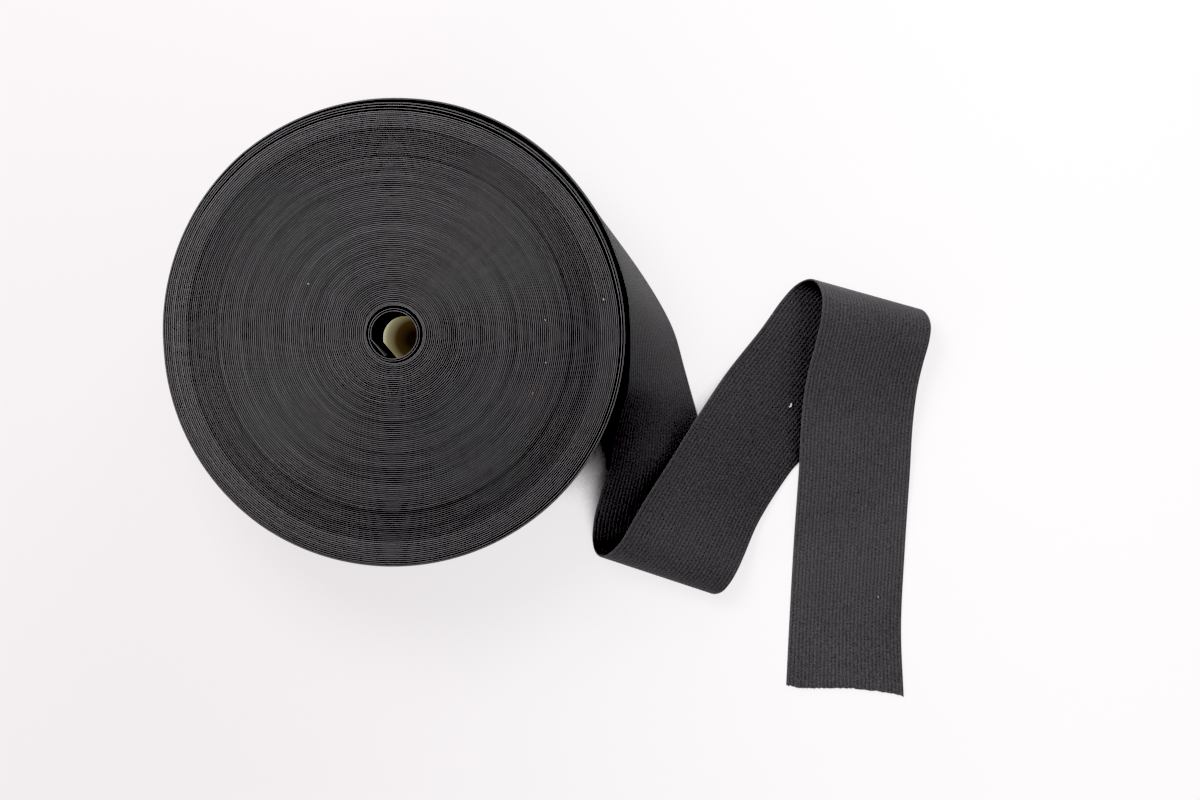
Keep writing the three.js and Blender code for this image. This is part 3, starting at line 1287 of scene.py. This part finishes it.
@dataclass
class Lint:
    """Specks of lint that cling to the elastic, each a short bent fibre with sizes in mm."""

    RADIUS = "Fibre radius"
    SIZE = "size"

    specks: tuple[Speck, ...] = table(
        Speck,
        (-43.4, 25.6, 0.8, 0.0, True),
        (70.6, -30.2, 1.0, 1.0, True),
        (106.6, 17.5, 0.9, 0.0, True),
        (76.7, 7.1, 0.7, 0.2, True),
        (77.2, -14.7, 0.7, 0.2, True),
        (206.1, -36.2, 2.0, 0.0, False),
        (253.3, -138.9, 0.8, 0.0, False),
    )
    radius: float = 0.26
    start: tuple[float, float, float] = (-0.5, 0.0, 0.0)
    bend: tuple[float, float, float] = (0.0, 0.6, 0.3)
    end: tuple[float, float, float] = (0.6, 0.0, 0.0)
    sides: int = 5
    tilt: float = 0.2

    def places(self, loose: LooseEnd) -> bpy.types.Mesh:
        """The specks' places, with the tint and the size of each.

        Args:
            loose: the loose end that carries some of them.

        Returns:
            A mesh of points.
        """
        points = []
        for speck in self.specks:
            height = TAPE.width
            if not speck.on_roll:
                reach = np.hypot(loose.surface[:, 0] - speck.x, loose.surface[:, 1] - speck.y)
                height = loose.surface[reach < TAPE.thick, 2].max() + TAPE.thick / 2
            points.append((speck.x, speck.y, height))
        mesh = plain_mesh("lint_places", placed(np.array(points)), [], [])
        give(mesh, TINT, column(self.specks, "tint"))
        give(mesh, self.SIZE, column(self.specks, "size"))
        return mesh

    def build(self, loose: LooseEnd, finish: bpy.types.Material) -> None:
        """Scatters the specks with Geometry Nodes.

        Args:
            loose: the loose end that carries some of them.
            finish: their material.
        """
        tree = GeometryTree("lint_scatter", (self.RADIUS,))
        bends = {"Start": self.start, "Middle": self.bend, "End": self.end}
        line = {name: tuple(part * MM for part in place) for name, place in bends.items()}
        fibre = tree.node("GeometryNodeCurveQuadraticBezier", None, {"Resolution": self.sides, **line})
        around = {"Resolution": self.sides, "Radius": tree.size(self.RADIUS)}
        tube = tree.sweep(fibre, tree.node("GeometryNodeCurvePrimitiveCircle", None, around))
        most = {"Max": (self.tilt, self.tilt, 2 * math.pi), "Seed": SEED}
        turn = tree.node("FunctionNodeRandomValue", {"data_type": "FLOAT_VECTOR"}, most)
        scatter = {
            "Points": tree.given,
            "Instance": tube,
            "Rotation": turn,
            "Scale": tree.attribute(self.SIZE),
        }
        tree.close(tree.node("GeometryNodeInstanceOnPoints", None, scatter))
        lint = tree.applied("lint", self.places(loose), finish, {self.RADIUS: self.radius * MM})
        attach(lint, "root")


class Lamp(NamedTuple):
    """A soft box: its name, power in watts, and size and place in metres."""

    name: str
    power: float
    size: float
    place: tuple[float, float, float]


@dataclass
class Studio:
    """Pale floor, soft light and the camera straight above."""

    over: tuple[float, float] = (104.6, -33.5)
    camera_height: float = 1143.0
    lens: float = 64.0
    sensor: float = 36.0
    floor_size: float = 30.0
    floor_drop: float = 0.01
    sky: float = 0.45
    sky_colour: tuple[float, float, float] = (1.0, 0.99, 1.0)
    lamps: tuple[Lamp, ...] = (
        Lamp("top_box", 6.7, 0.45, (-0.33, 0.47, 0.69)),
        Lamp("right_box", 9.0, 0.6, (0.52, 1.43, 0.49)),
        Lamp("left_box", 12.0, 0.6, (-1.27, -0.89, 0.39)),
    )
    black_level: float = 0.042

    def build_camera(self) -> None:
        """The camera, looking straight down with +Y up in the picture."""
        data = bpy.data.cameras.new("camera")
        data.lens = self.lens
        data.sensor_width = self.sensor
        data.sensor_fit = "HORIZONTAL"
        camera = added("camera", data)
        camera.location = placed(np.array([*self.over, self.camera_height]))
        bpy.context.scene.camera = camera

    def build_floor(self) -> None:
        """The floor, which is no part of the object."""
        half = self.floor_size / 2
        low = -self.floor_drop * MM
        corners = np.array([(-half, -half, low), (half, -half, low), (half, half, low), (-half, half, low)])
        mesh = plain_mesh("floor", corners, [], [(0, 1, 2, 3)])
        mesh.materials.append(FloorFinish().material())
        floor = added("floor", mesh)
        floor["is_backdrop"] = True

    def build_light(self) -> None:
        """An even surround and the soft boxes."""
        world = bpy.data.worlds.new("studio")
        bpy.context.scene.world = world
        world.use_nodes = True
        surround = world.node_tree.nodes["Background"].inputs
        surround["Color"].default_value = (*self.sky_colour, 1.0)
        surround["Strength"].default_value = self.sky
        for lamp in self.lamps:
            self.build_lamp(lamp)

    def build_lamp(self, lamp: Lamp) -> None:
        """One soft box, aimed at the floor under the camera.

        Args:
            lamp: its sizes.
        """
        data = bpy.data.lights.new(lamp.name, "AREA")
        data.energy = lamp.power
        data.size = lamp.size
        box = added(lamp.name, data)
        box.location = lamp.place
        aim = bpy.context.scene.camera.location - box.location
        aim.z = -lamp.place[2]
        box.rotation_euler = aim.to_track_quat("-Z", "Y").to_euler()
        box.visible_camera = False

    def set_contrast(self) -> None:
        """A plain view with the deepest shade taken to black, as in the photograph."""
        view = bpy.context.scene.view_settings
        view.view_transform = "Standard"
        view.use_curve_mapping = True
        view.curve_mapping.black_level = (self.black_level,) * 3
        view.curve_mapping.update()

    def build(self) -> None:
        """Builds the camera, the floor and the light."""
        self.build_camera()
        self.build_floor()
        self.build_light()
        self.set_contrast()


def main() -> None:
    """Builds the studio and the pieces in order, and reports each."""
    logging.basicConfig(level=logging.INFO, format="%(message)s")
    Studio().build()
    ribbed = RibbedElastic().material()
    faces = TapeFaces()
    turns = WoundRoll().build(TapeSweep(), faces, WoundEdges().material(), ribbed)
    loose = LooseEnd()
    loose.build(faces, ribbed, turns)
    Lint().build(loose, LintFinish().material())
    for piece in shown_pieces():
        piece.data.calc_loop_triangles()
        LOG.info("%s: %d triangles", piece.name, len(piece.data.loop_triangles))


if __name__ == "__main__":
    main()
